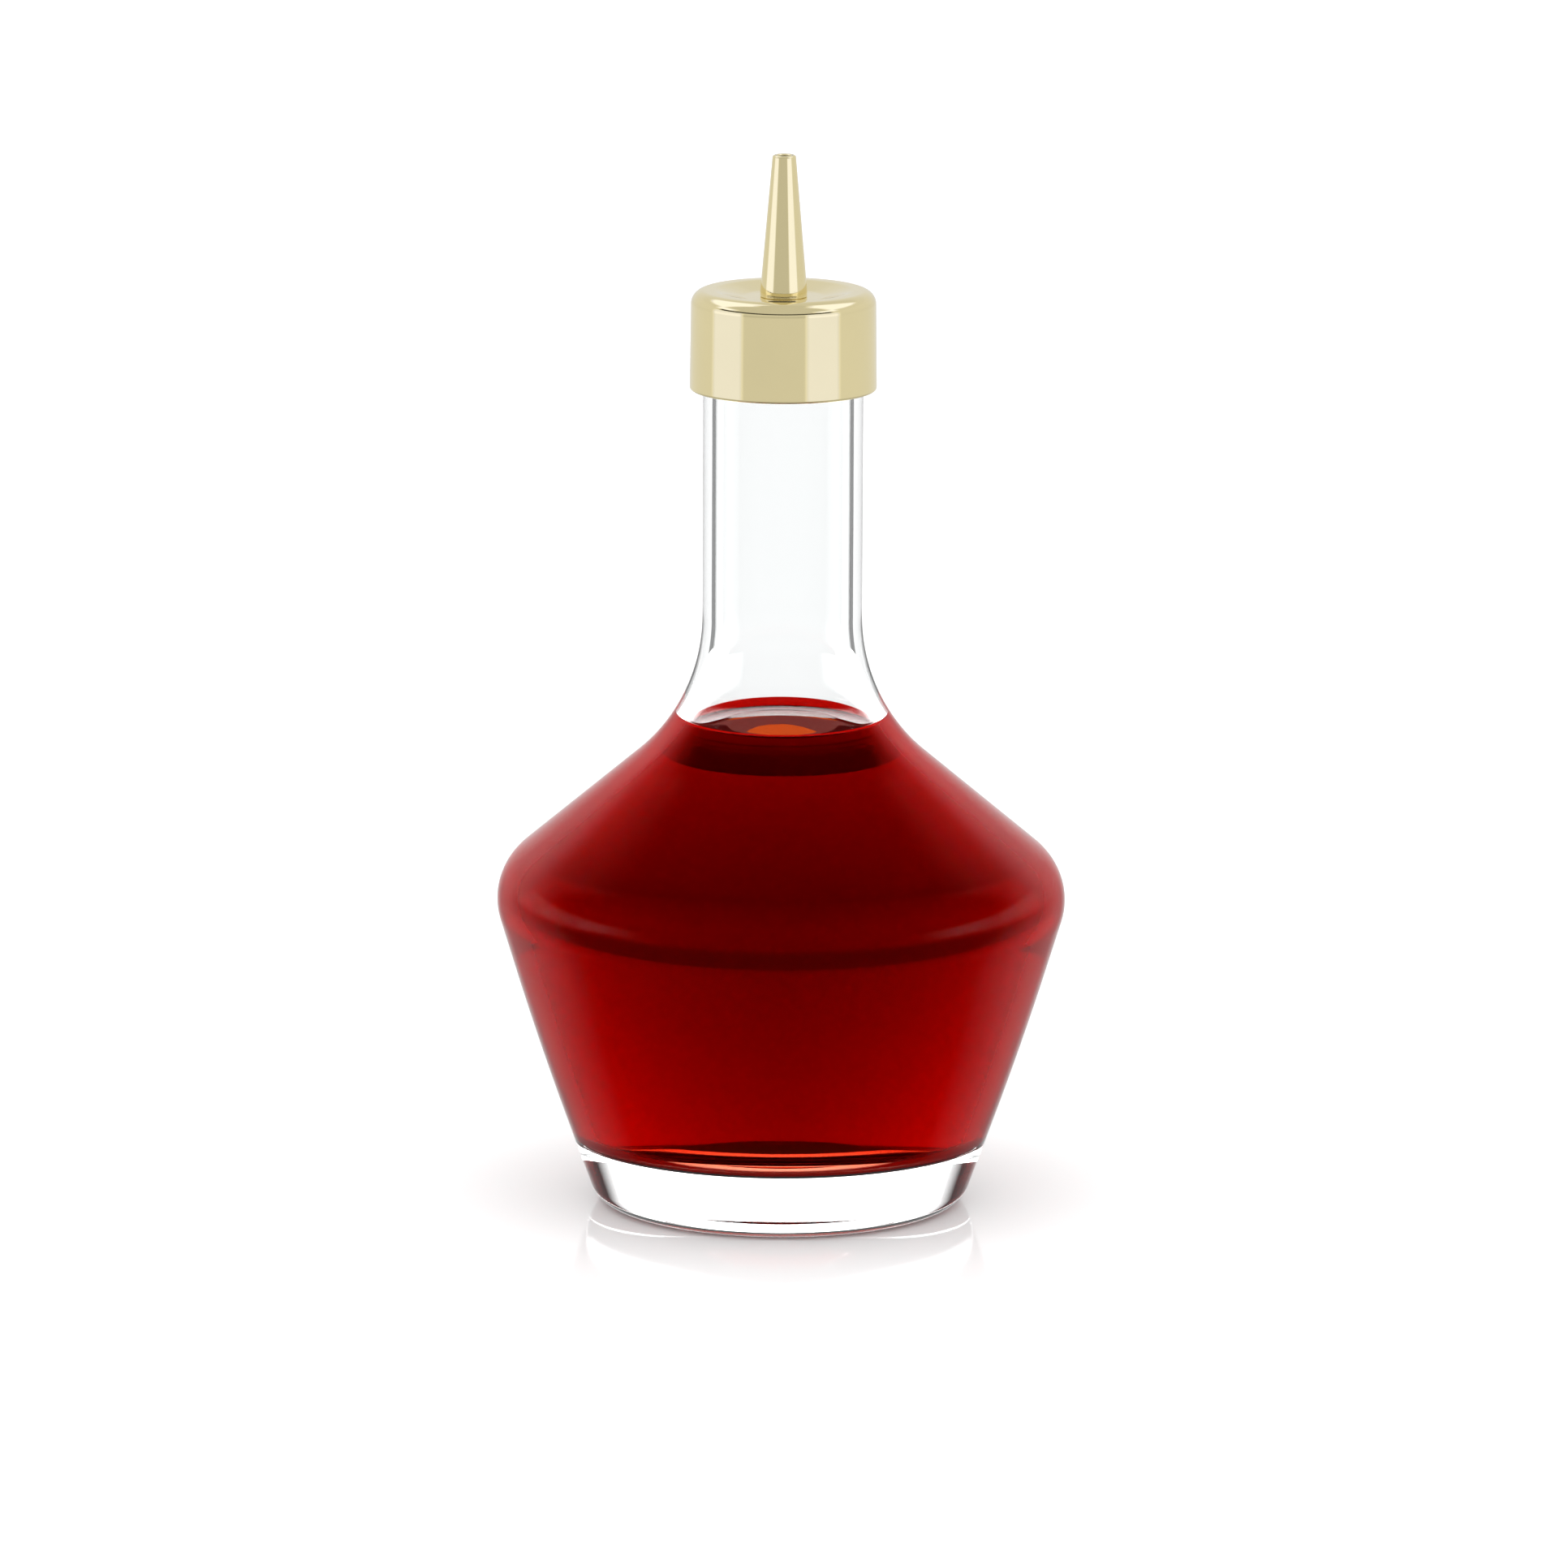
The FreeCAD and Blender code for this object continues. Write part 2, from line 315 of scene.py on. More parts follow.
def filling_outline(glass, filling):
    """Outline of the filling, from the middle of its floor up the wall and over its surface, which curves
    up where it wets the glass."""
    climb = filling.meniscus / MM
    level = filling.brim / MM - climb
    wall = rounded(inside_corners(glass, filling.gap / MM))
    index, edge = cut_at(wall, level + climb)
    surface = []
    for step in range(MENISCUS_STEPS + 1):
        away = MENISCUS_SPAN * (step / MENISCUS_STEPS) ** 2
        surface.append(Vector((edge.x - away, level + climb * math.exp(-away / MENISCUS_REACH))))
    return wall[:index + 1] + surface + [Vector((0, level))]


# Turned pieces

def turning_tree():
    """Node tree that turns an outline, a row of points beside the axis, into a closed surface."""
    tree = bpy.data.node_groups.new("Turned about the axis", "GeometryNodeTree")
    kinds = {"Outline": "Geometry", "Segments": "Int", "Closed": "Int", "Finish": "Material"}
    for name, kind in kinds.items():
        tree.interface.new_socket(name, in_out="INPUT", socket_type="NodeSocket" + kind)
    tree.interface.new_socket("Piece", in_out="OUTPUT", socket_type="NodeSocketGeometry")
    given = add(tree, "NodeGroupInput").outputs
    count = add(tree, "GeometryNodeAttributeDomainSize", {0: given["Outline"]}).outputs["Point Count"]
    rows = add(tree, "ShaderNodeMath", {0: count, 1: given["Closed"]}, operation="ADD").outputs[0]
    columns = add(tree, "ShaderNodeMath", {0: given["Segments"], 1: 1.0}, operation="ADD").outputs[0]
    grid = add(tree, "GeometryNodeMeshGrid", {"Vertices X": columns, "Vertices Y": rows}).outputs["Mesh"]
    index = add(tree, "GeometryNodeInputIndex").outputs[0]
    share = add(tree, "ShaderNodeMath", {0: index, 1: rows}, operation="DIVIDE").outputs[0]
    column = add(tree, "ShaderNodeMath", {0: share}, operation="FLOOR").outputs[0]
    row = add(tree, "ShaderNodeMath", {0: index, 1: rows}, operation="MODULO").outputs[0]
    place = add(tree, "ShaderNodeMath", {0: row, 1: count}, operation="MODULO").outputs[0]
    spot = add(tree, "GeometryNodeInputPosition").outputs[0]
    sampled = add(tree, "GeometryNodeSampleIndex", {
        "Geometry": given["Outline"], "Value": spot, "Index": place}, data_type="FLOAT_VECTOR").outputs[0]
    turn = add(tree, "ShaderNodeMath", {0: math.tau, 1: given["Segments"]}, operation="DIVIDE").outputs[0]
    angle = add(tree, "ShaderNodeMath", {0: turn, 1: column}, operation="MULTIPLY").outputs[0]
    turned = add(tree, "ShaderNodeVectorRotate", {"Vector": sampled, "Angle": angle},
                 rotation_type="Z_AXIS").outputs[0]
    moved = add(tree, "GeometryNodeSetPosition", {"Geometry": grid, "Position": turned}).outputs[0]
    welded = add(tree, "GeometryNodeMergeByDistance", {"Geometry": moved, "Distance": WELD}).outputs[0]
    smooth = add(tree, "GeometryNodeSetShadeSmooth", {"Geometry": welded}).outputs[0]
    real = add(tree, "GeometryNodeRealizeInstances", {0: smooth}).outputs[0]
    finished = add(tree, "GeometryNodeSetMaterial", {
        "Geometry": real, "Material": given["Finish"]}).outputs[0]
    add(tree, "NodeGroupOutput", {"Piece": finished})
    return tree


def made_by_nodes(name, mesh, tree, values):
    """An object whose plain mesh is what a node tree makes of the given mesh."""
    piece = bpy.data.objects.new(name, mesh)
    bpy.context.scene.collection.objects.link(piece)
    nodes = piece.modifiers.new(tree.name, "NODES")
    nodes.node_group = tree
    for item in tree.interface.items_tree:
        if item.in_out == "INPUT" and item.name in values:
            nodes[item.identifier] = values[item.name]
    seen = piece.evaluated_get(bpy.context.evaluated_depsgraph_get())
    result = bpy.data.meshes.new_from_object(seen)
    piece.modifiers.remove(nodes)
    piece.data = result
    result.name = name
    finish = result.materials[-1]
    result.materials.clear()
    result.materials.append(finish)
    result.polygons.foreach_set("material_index", [0] * len(result.polygons))
    bpy.data.meshes.remove(mesh)
    return piece


def turned_piece(name, outline, finish, segments, closed):
    """A piece turned about the bottle's axis from its outline in millimetres."""
    mesh = bpy.data.meshes.new(name + "_outline")
    points = [(place.x * MM, 0.0, place.y * MM) for place in outline]
    mesh.from_pydata(points, [(index, index + 1) for index in range(len(points) - 1)], [])
    tree = bpy.data.node_groups.get("Turned about the axis") or turning_tree()
    return made_by_nodes(name, mesh, tree, {"Segments": segments, "Closed": int(closed), "Finish": finish})


def settle(piece, body, slot, *nodes):
    """Puts a finished piece on its body, in place of its nodes."""
    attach(piece, body)
    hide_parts(*nodes)


# Finishes

def new_finish(name):
    """A node material with nothing in it yet, and its tree."""
    finish = bpy.data.materials.new(name)
    finish.use_nodes = True
    finish.node_tree.nodes.clear()
    return finish, finish.node_tree


# Waves in the blown glass, in millimetres
WAVE_LENGTH = 7.0
WAVE_DEPTH = 0.006
# Refractive indexes. The glass's wetted face bends light as it passes into the filling, so the filling's wall
# doesn't bend it again.
GLASS_IOR = 1.5
BITTERS_IOR = 1.36
NO_BEND = 1.0


def blown_glass(glass, name, ior):
    """Clear soda-lime glass, blown in a mould: smooth and bright, with slow waves that the mould leaves."""
    finish, tree = new_finish(name)
    spot = add(tree, "ShaderNodeTexCoord").outputs["Object"]
    waves = add(tree, "ShaderNodeTexNoise", {
        "Vector": spot, "Scale": 1 / (WAVE_LENGTH * MM), "Detail": 1.0}).outputs[0]
    relief = add(tree, "ShaderNodeBump", {
        "Height": waves, "Strength": 1.0, "Distance": WAVE_DEPTH * MM}).outputs[0]
    shader = add(tree, "ShaderNodeBsdfPrincipled", {
        "Base Color": (*glass.tint, 1.0), "Roughness": 0.0, "IOR": ior, "Transmission Weight": 1.0,
        "Normal": relief})
    add(tree, "ShaderNodeOutputMaterial", {"Surface": shader.outputs[0]})
    return finish


# A face that is turned towards the axis by less than this, in metres, looks along the axis
LEAST_INWARDS = 1e-9
# A face whose normal rises more than this is part of the filling's open surface
LEVEL_FACE = 0.9


def faces_inwards(face):
    """Whether a face of a turned piece looks towards the axis."""
    return face.normal.x * face.center.x + face.normal.y * face.center.y < -LEAST_INWARDS


# The filling's faces hold their own refractive index, which is higher at the open surface than at the wall
BEND = "bend"
HAZE_COLOUR = linear("FF3019")
# The veil's colour, how far the wall is turned away where it starts and where it is full, and its share there
VEIL_COLOUR = linear("F01610")
VEIL_STARTS = 0.17
VEIL_FULL = 0.39
VEIL_SHARE = 0.8


def red_bitters(filling):
    """Deep red infused spirit: nearly clear, and black where it is deep. Fine matter in it turns some light
    back, which veils the edges, where the wall is seen aslant."""
    finish, tree = new_finish("Red bitters")
    bend = add(tree, "ShaderNodeAttribute", attribute_name=BEND).outputs["Fac"]
    shader = add(tree, "ShaderNodeBsdfPrincipled", {
        "Base Color": (*linear("FFFFFF"), 1.0), "Roughness": 0.0, "IOR": bend, "Transmission Weight": 1.0})
    depth = add(tree, "ShaderNodeVolumeAbsorption", {
        "Color": (*filling.absorbed, 1.0), "Density": filling.density})
    haze = add(tree, "ShaderNodeVolumeScatter", {"Color": (*HAZE_COLOUR, 1.0), "Density": filling.haze})
    inside = add(tree, "ShaderNodeAddShader", {0: depth.outputs[0], 1: haze.outputs[0]})
    aslant = add(tree, "ShaderNodeLayerWeight", {"Blend": 0.5}).outputs["Facing"]
    leaving = add(tree, "ShaderNodeNewGeometry").outputs["Backfacing"]
    elsewhere = add(tree, "ShaderNodeMath", {0: bend, 1: leaving}, operation="ADD").outputs[0]
    most = add(tree, "ShaderNodeMapRange", {
        "Value": elsewhere, "From Min": NO_BEND, "From Max": BITTERS_IOR,
        "To Min": VEIL_SHARE, "To Max": 0.0}).outputs[0]
    share = add(tree, "ShaderNodeMapRange", {
        "Value": aslant, "From Min": VEIL_STARTS, "From Max": VEIL_FULL, "To Max": most},
        interpolation_type="SMOOTHSTEP").outputs[0]
    veil = add(tree, "ShaderNodeBsdfDiffuse", {"Color": (*VEIL_COLOUR, 1.0)}).outputs[0]
    outside = add(tree, "ShaderNodeMixShader", {0: share, 1: shader.outputs[0], 2: veil}).outputs[0]
    add(tree, "ShaderNodeOutputMaterial", {"Surface": outside, "Volume": inside.outputs[0]})
    return finish


def beside_axis(tree, spot):
    """A place as its distance from the axis and its height, so that a pattern there makes rings."""
    place = add(tree, "ShaderNodeSeparateXYZ", {0: spot}).outputs
    flat = add(tree, "ShaderNodeCombineXYZ", {0: place["X"], 1: place["Y"]}).outputs[0]
    radius = add(tree, "ShaderNodeVectorMath", {0: flat}, operation="LENGTH").outputs["Value"]
    return add(tree, "ShaderNodeCombineXYZ", {0: radius, 2: place["Z"]}).outputs[0]


# Spacing of the gold's rings and width of its clouds, in millimetres. The polished rings are about 0.02 mm
# apart and are drawn ten times as coarse, to show.
RING_SPACING = 0.2
GOLD_CLOUD = 6.0
# How much of the colour a cloud leaves, and how the rings change the roughness between two levels of noise
GOLD_SHADE = 0.95
SMOOTHEST_RING = 0.8
ROUGHEST_RING = 1.3
RING_LOW = 0.3
RING_HIGH = 0.7


def gold_plate(top):
    """Pale gold plating on turned and polished brass: a mirror, softened by faint rings round the axis."""
    finish, tree = new_finish("Polished gold plate")
    spot = add(tree, "ShaderNodeTexCoord").outputs["Object"]
    across = beside_axis(tree, spot)
    rings = add(tree, "ShaderNodeTexNoise", {
        "Vector": across, "Scale": 1 / (RING_SPACING * MM), "Detail": 2.0}).outputs[0]
    cloud = add(tree, "ShaderNodeTexNoise", {
        "Vector": spot, "Scale": 1 / (GOLD_CLOUD * MM), "Detail": 2.0}).outputs[0]
    tone = add(tree, "ShaderNodeMix", {
        0: cloud, 6: (*top.gold, 1.0), 7: (*[share * GOLD_SHADE for share in top.gold], 1.0)},
        data_type="RGBA").outputs[2]
    polish = add(tree, "ShaderNodeMapRange", {
        "Value": rings, "From Min": RING_LOW, "From Max": RING_HIGH,
        "To Min": top.polish * SMOOTHEST_RING, "To Max": top.polish * ROUGHEST_RING}).outputs[0]
    shader = add(tree, "ShaderNodeBsdfPrincipled", {
        "Base Color": tone, "Metallic": 1.0, "Roughness": polish})
    add(tree, "ShaderNodeOutputMaterial", {"Surface": shader.outputs[0]})
    return finish


# Grain, clouds and relief of the silicone and how deep light goes into it, in millimetres, and its refractive
# index. The etched grain is about 0.05 mm and is drawn five times as coarse, to show.
SILICONE_GRAIN = 0.25
SILICONE_CLOUD = 4.0
SILICONE_RELIEF = 0.02
SILICONE_DEPTH = 1.2
SILICONE_IOR = 1.41


def moulded_silicone():
    """Clear-white silicone, moulded in an etched tool: matt, and a little light passes into it."""
    finish, tree = new_finish("Moulded silicone")
    spot = add(tree, "ShaderNodeTexCoord").outputs["Object"]
    grain = add(tree, "ShaderNodeTexNoise", {
        "Vector": spot, "Scale": 1 / (SILICONE_GRAIN * MM), "Detail": 3.0}).outputs[0]
    cloud = add(tree, "ShaderNodeTexNoise", {
        "Vector": spot, "Scale": 1 / (SILICONE_CLOUD * MM), "Detail": 2.0}).outputs[0]
    tone = add(tree, "ShaderNodeMix", {
        0: cloud, 6: (*linear("DDE0DC"), 1.0), 7: (*linear("EEF0EC"), 1.0)}, data_type="RGBA").outputs[2]
    matt = add(tree, "ShaderNodeMapRange", {"Value": grain, "To Min": 0.36, "To Max": 0.56}).outputs[0]
    relief = add(tree, "ShaderNodeBump", {
        "Height": grain, "Strength": 0.2, "Distance": SILICONE_RELIEF * MM}).outputs[0]
    shader = add(tree, "ShaderNodeBsdfPrincipled", {
        "Base Color": tone, "Roughness": matt, "IOR": SILICONE_IOR, "Subsurface Weight": 0.4,
        "Subsurface Radius": (1.0, 1.0, 1.0), "Subsurface Scale": SILICONE_DEPTH * MM, "Normal": relief})
    add(tree, "ShaderNodeOutputMaterial", {"Surface": shader.outputs[0]})
    return finish


# Grain and relief of the rubber, in millimetres, and its refractive index
RUBBER_GRAIN = 0.12
RUBBER_RELIEF = 0.01
RUBBER_IOR = 1.52


def nitrile_rubber():
    """Black nitrile rubber, moulded: a dull grey-black with a soft gloss where it is stretched."""
    finish, tree = new_finish("Nitrile rubber")
    spot = add(tree, "ShaderNodeTexCoord").outputs["Object"]
    grain = add(tree, "ShaderNodeTexNoise", {
        "Vector": spot, "Scale": 1 / (RUBBER_GRAIN * MM), "Detail": 3.0}).outputs[0]
    tone = add(tree, "ShaderNodeMix", {
        0: grain, 6: (*linear("101011"), 1.0), 7: (*linear("1D1D1E"), 1.0)}, data_type="RGBA").outputs[2]
    dull = add(tree, "ShaderNodeMapRange", {"Value": grain, "To Min": 0.45, "To Max": 0.7}).outputs[0]
    relief = add(tree, "ShaderNodeBump", {
        "Height": grain, "Strength": 0.25, "Distance": RUBBER_RELIEF * MM}).outputs[0]
    shader = add(tree, "ShaderNodeBsdfPrincipled", {
        "Base Color": tone, "Roughness": dull, "IOR": RUBBER_IOR, "Normal": relief})
    add(tree, "ShaderNodeOutputMaterial", {"Surface": shader.outputs[0]})
    return finish


# Marks, relief and stains of the steel, in millimetres. The tool's marks are about 0.03 mm apart and are
# drawn three times as coarse, to show.
MARK_SPACING = 0.1
MARK_RELIEF = 0.01
STEEL_STAIN = 1.5


def turned_steel():
    """Stainless steel faced on a lathe: fine rings round the axis, which spread the light across them."""
    finish, tree = new_finish("Turned stainless steel")
    spot = add(tree, "ShaderNodeTexCoord").outputs["Object"]
    across = beside_axis(tree, spot)
    marks = add(tree, "ShaderNodeTexNoise", {
        "Vector": across, "Scale": 1 / (MARK_SPACING * MM), "Detail": 2.0}).outputs[0]
    stain = add(tree, "ShaderNodeTexNoise", {
        "Vector": spot, "Scale": 1 / (STEEL_STAIN * MM), "Detail": 3.0}).outputs[0]
    tone = add(tree, "ShaderNodeMix", {
        0: stain, 6: (*linear("B9BABB"), 1.0), 7: (*linear("CFD0D0"), 1.0)}, data_type="RGBA").outputs[2]
    spread = add(tree, "ShaderNodeMapRange", {"Value": marks, "To Min": 0.2, "To Max": 0.42}).outputs[0]
    relief = add(tree, "ShaderNodeBump", {
        "Height": marks, "Strength": 0.3, "Distance": MARK_RELIEF * MM}).outputs[0]
    shader = add(tree, "ShaderNodeBsdfPrincipled", {
        "Base Color": tone, "Metallic": 1.0, "Roughness": spread, "Normal": relief})
    add(tree, "ShaderNodeOutputMaterial", {"Surface": shader.outputs[0]})
    return finish


class BOTTLE_OT_glass(bpy.types.Operator):
    """Blow the glass bottle"""

    bl_idname = "bitters_bottle.glass"
    bl_label = "Glass bottle"

    def execute(self, context):
        glass = context.scene.bitters_bottle.glass
        filling = context.scene.bitters_bottle.filling
        wet_height = filling.brim
        bottle = turned_piece("blown_bottle", bottle_outline(glass, wet_height / MM),
                              blown_glass(glass, "Blown clear glass", GLASS_IOR), glass.segments, False)
        bottle.data.materials.append(blown_glass(glass, "Wetted glass", GLASS_IOR / BITTERS_IOR))
        for face in bottle.data.polygons:
            inside = faces_inwards(face) or (face.normal.z > 0 and face.center.z < glass.belly_height)
            face.material_index = int(inside and face.center.z < wet_height)
        settle(bottle, "bottle", "clear_glass", "glass_bottle")
        return {"FINISHED"}


class BOTTLE_OT_filling(bpy.types.Operator):
    """Pour the filling"""

    bl_idname = "bitters_bottle.filling"
    bl_label = "Filling"

    def execute(self, context):
        settings = context.scene.bitters_bottle
        poured = turned_piece("poured_bitters", filling_outline(settings.glass, settings.filling),
                              red_bitters(settings.filling), settings.glass.segments, False)
        bend = poured.data.attributes.new(BEND, "FLOAT", "FACE")
        for face, value in zip(poured.data.polygons, bend.data):
            open_to_air = face.normal.z > LEVEL_FACE or (face.normal.z > 0 and faces_inwards(face))
            value.value = BITTERS_IOR if open_to_air else NO_BEND
        poured.visible_diffuse = False
        settle(poured, "bottle", "red_bitters", "bitters")
        return {"FINISHED"}


# Cap and nozzle sizes that the frame's boxes don't give, in millimetres
SKIRT_WALL = 1.25
SKIRT_DRAFT = 0.15
SKIRT_EDGE = 0.35
PLATE_THICKNESS = 1.4
PLATE_FILLET = 0.5
DISH_DEPTH = 0.8
DISH_EDGE = 2.95
DISH_SLOPE = 3.4
DISH_ROUNDING = 3.0
RIM_ROUNDING = 1.7
SEAL_CLEARANCE = 0.02
STEM_HOLE = 2.05
COLLAR_HEIGHT = 0.7
COLLAR_EDGE = 0.12
TIP_RADIUS = 1.42
TIP_ROUNDING = 0.3
OUTLET_RADIUS = 0.8
OUTLET_LENGTH = 6.0
OUTLET_EDGE = 0.2
PASSAGE_RADIUS = 1.2
PASSAGE_CONE = 0.7
STEM_RADIUS = 2.0
STEM_EDGE = 0.2
FINE_EDGE = 0.06


def cap_outline():
    """Outline of the cap: skirt, rounded rim, dished top and the seal's seat."""
    top = top_of("cap_shell")
    bottom = bottom_of("cap_shell")
    outer = radius_of("cap_shell")
    inner = outer - SKIRT_WALL
    rim = outer - SKIRT_DRAFT
    dish = rim - DISH_EDGE
    dish_floor = top - DISH_DEPTH
    plate_bottom = dish_floor - PLATE_THICKNESS
    seat_r = radius_of("nozzle_seal") + SEAL_CLEARANCE
    seat_floor = bottom_of("nozzle_seal") - SEAL_CLEARANCE / 2
    return rounded([
        (inner, bottom, SKIRT_EDGE / 2),
        (outer, bottom, SKIRT_EDGE),
        (rim, top, RIM_ROUNDING),
        (dish, top, DISH_ROUNDING),
        (dish - DISH_SLOPE, dish_floor, DISH_ROUNDING),
        (seat_r, dish_floor, FINE_EDGE),
        (seat_r, seat_floor, FINE_EDGE),
        (STEM_HOLE, seat_floor, FINE_EDGE),
        (STEM_HOLE, plate_bottom, FINE_EDGE),
        (inner, plate_bottom, PLATE_FILLET),
    ])


def nozzle_outline():
    """Outline of the nozzle: stem, collar, taper, rounded tip and the dash outlet."""
    tip = top_of("dasher_nozzle")
    bottom = bottom_of("dasher_nozzle")
    collar_bottom = top_of("cap_shell") - DISH_DEPTH
    collar_r = radius_of("dasher_nozzle")
    outlet_bottom = tip - OUTLET_LENGTH
    return rounded([
        (PASSAGE_RADIUS, bottom, FINE_EDGE),
        (STEM_RADIUS, bottom, STEM_EDGE),
        (STEM_RADIUS, collar_bottom, FINE_EDGE),
        (collar_r, collar_bottom, COLLAR_EDGE),
        (collar_r, collar_bottom + COLLAR_HEIGHT, FINE_EDGE),
        (TIP_RADIUS, tip, TIP_ROUNDING),
        (OUTLET_RADIUS, tip, OUTLET_EDGE),
        (OUTLET_RADIUS, outlet_bottom, FINE_EDGE),
        (PASSAGE_RADIUS, outlet_bottom - PASSAGE_CONE, FINE_EDGE),
    ])


class BOTTLE_OT_top(bpy.types.Operator):
    """Make the gold cap and nozzle"""

    bl_idname = "bitters_bottle.top"
    bl_label = "Dasher top"

    def execute(self, context):
        top = context.scene.bitters_bottle.top
        gold = gold_plate(top)
        cap = turned_piece("plated_cap", cap_outline(), gold, top.segments, True)
        settle(cap, "dasher_top", "gold_plate", "cap_shell")
        nozzle = turned_piece("plated_nozzle", nozzle_outline(), gold, top.segments, True)
        settle(nozzle, "dasher_top", "gold_plate", "dasher_nozzle")
        return {"FINISHED"}


# Sizes of the pieces in the neck that the frame's boxes don't give, in millimetres
STOPPER_CORE = 7.3
STOPPER_RIB = 8.2
RIB_COUNT = 3
RIB_ROOT = 1.3
RIB_TIP = 0.6
RIB_ROUNDING = 0.18
RIB_FILLET = 0.2
FLANGE_THICKNESS = 1.2
FLANGE_ROUNDING = 0.3
LEAD_IN = 0.5
RECESS_CLEARANCE = 0.25
MOULDED_EDGE = 0.1
SEAL_STEPS = 32
PUNCHED_EDGE = 0.1
SHEARED_EDGE = 0.03
NUT_SIDES = 6
NUT_CHAMFER = math.radians(30.0)
NUT_EDGE = 0.05
NUT_SIDE_STEPS = 12
COUNTERSINK = 0.3
SHARP_ANGLE = math.radians(20.0)


def stopper_outline():
    """Outline of the stopper: recess for the nut, ribs that grip the bore, and flange over the lip."""
    bottom = bottom_of("stopper")
    top = top_of("stopper")
    recess_r = radius_of("stem_nut") + RECESS_CLEARANCE
    recess_top = top_of("clamp_washer")
    flange_bottom = top - FLANGE_THICKNESS
    pitch = (flange_bottom - bottom - RIB_ROOT) / RIB_COUNT
    corners = [
        (STEM_HOLE, recess_top, MOULDED_EDGE),
        (recess_r, recess_top, MOULDED_EDGE),
        (recess_r, bottom, MOULDED_EDGE),
        (STOPPER_CORE, bottom, LEAD_IN),
    ]
    for rib in range(RIB_COUNT):
        root = bottom + RIB_ROOT + rib * pitch
        tip = root + (RIB_ROOT - RIB_TIP) / 2
        corners += [
            (STOPPER_CORE, root, RIB_FILLET),
            (STOPPER_RIB, tip, RIB_ROUNDING),
            (STOPPER_RIB, tip + RIB_TIP, RIB_ROUNDING),
            (STOPPER_CORE, root + RIB_ROOT, RIB_FILLET),
        ]
    flange_r = radius_of("stopper")
    return rounded(corners + [
        (STOPPER_CORE, flange_bottom, MOULDED_EDGE),
        (flange_r, flange_bottom, FLANGE_ROUNDING),
        (flange_r, top, FLANGE_ROUNDING),
        (STEM_HOLE, top, MOULDED_EDGE),
    ])


def seal_outline():
    """Section of the O-ring."""
    section_r = (top_of("nozzle_seal") - bottom_of("nozzle_seal")) / 2
    centre = Vector((radius_of("nozzle_seal") - section_r, bottom_of("nozzle_seal") + section_r))
    turns = [math.tau * step / SEAL_STEPS for step in range(SEAL_STEPS)]
    return [centre + section_r * Vector((math.cos(turn), math.sin(turn))) for turn in turns]


def washer_outline():
    """Section of the punched washer: rounded over on the punch's side, sharp on the other."""
    bottom = bottom_of("clamp_washer")
    top = top_of("clamp_washer")
    outer = radius_of("clamp_washer")
    return rounded([
        (STEM_HOLE, bottom, PUNCHED_EDGE),
        (outer, bottom, PUNCHED_EDGE),
        (outer, top, SHEARED_EDGE),
        (STEM_HOLE, top, SHEARED_EDGE),
    ])


def nut_mesh():
    """The hexagon nut: a ring of outlines, each as wide as the hexagon is there, with chamfered corners below
    and a countersunk hole."""
    bottom = bottom_of("stem_nut")
    top = top_of("stem_nut")
    corner_r = radius_of("stem_nut")
    half_side = math.pi / NUT_SIDES
    flat_r = corner_r * math.cos(half_side)
    columns = NUT_SIDES * NUT_SIDE_STEPS
    points = []
    for column in range(columns):
        turn = math.tau * column / columns
        side_r = flat_r / math.cos(turn % (2 * half_side) - half_side)
        drop = (side_r - flat_r) * math.tan(NUT_CHAMFER)
        rows = [
            (STEM_HOLE, top - COUNTERSINK),
            (STEM_HOLE, bottom + COUNTERSINK),
            (STEM_HOLE + COUNTERSINK, bottom),
            (flat_r - NUT_EDGE, bottom),
            (side_r, bottom + drop + NUT_EDGE),
            (side_r, top - NUT_EDGE),
            (side_r - NUT_EDGE, top),
            (STEM_HOLE + COUNTERSINK, top),
        ]
        points += [(radius * math.cos(turn) * MM, radius * math.sin(turn) * MM, height * MM)
                   for radius, height in rows]
    count = len(rows)
    faces = []
    for column in range(columns):
        here = column * count
        beside = (column + 1) % columns * count
        for row in range(count):
            after = (row + 1) % count
            faces.append((here + row, beside + row, beside + after, here + after))
    mesh = bpy.data.meshes.new("stem_nut")
    mesh.from_pydata(points, [], faces)
    mesh.shade_smooth()
    mesh.set_sharp_from_angle(angle=SHARP_ANGLE)
    return mesh


class BOTTLE_OT_inside(bpy.types.Operator):
    """Make the stopper, the seal, the washer and the nut"""

    bl_idname = "bitters_bottle.inside"
    bl_label = "Stopper and clamp"

    def execute(self, context):
        segments = context.scene.bitters_bottle.top.segments
        steel = turned_steel()
        for name, node, outline, finish, slot in (
                ("ribbed_stopper", "stopper", stopper_outline(), moulded_silicone(), "clear_silicone"),
                ("rubber_seal", "nozzle_seal", seal_outline(), nitrile_rubber(), "black_rubber"),
                ("punched_washer", "clamp_washer", washer_outline(), steel, "stainless_steel")):
            piece = turned_piece(name, outline, finish, segments, True)
            settle(piece, "dasher_top", slot, node)
        nut = bpy.data.objects.new("hexagon_nut", nut_mesh())
        context.scene.collection.objects.link(nut)
        nut.data.materials.append(steel)
        settle(nut, "dasher_top", "stainless_steel", "stem_nut")
        return {"FINISHED"}


# Stage

